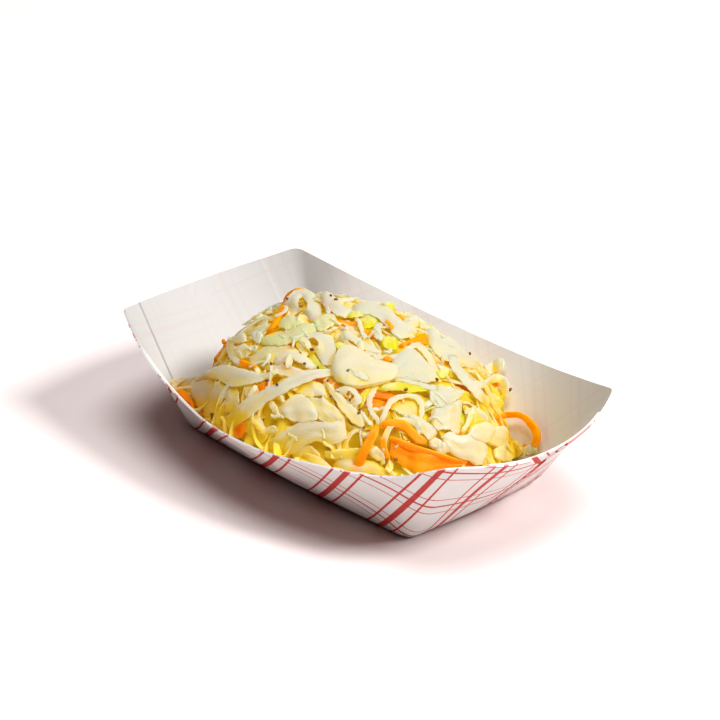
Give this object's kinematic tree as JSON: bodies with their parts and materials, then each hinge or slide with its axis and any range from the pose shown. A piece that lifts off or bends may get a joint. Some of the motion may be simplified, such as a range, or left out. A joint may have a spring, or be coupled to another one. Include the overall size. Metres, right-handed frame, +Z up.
{
  "type": "coleslaw in a paper food tray",
  "caption": "Mound of shredded cabbage and carrot slaw with celery seeds in an open folded paperboard food tray with sloping, bowed walls.",
  "frame": {"origin": "middle of the tray's flat underside", "axes": "+X along the tray's length, +Y across it, +Z up"},
  "size_m": [0.1454, 0.0974, 0.0477],
  "materials": {
    "paperboard": "uncoated white paperboard, printed outside with red crossing lines on the bias",
    "cabbage": "wet, slightly translucent, cream white to pale yellow",
    "cabbage_green": "wet, pale yellow green",
    "carrot": "wet, orange",
    "celery_seed": "matt, dark brown"
  },
  "bodies": {
    "root": {"tray": "paperboard", "coleslaw": "cabbage"}
  },
  "joints": []
}
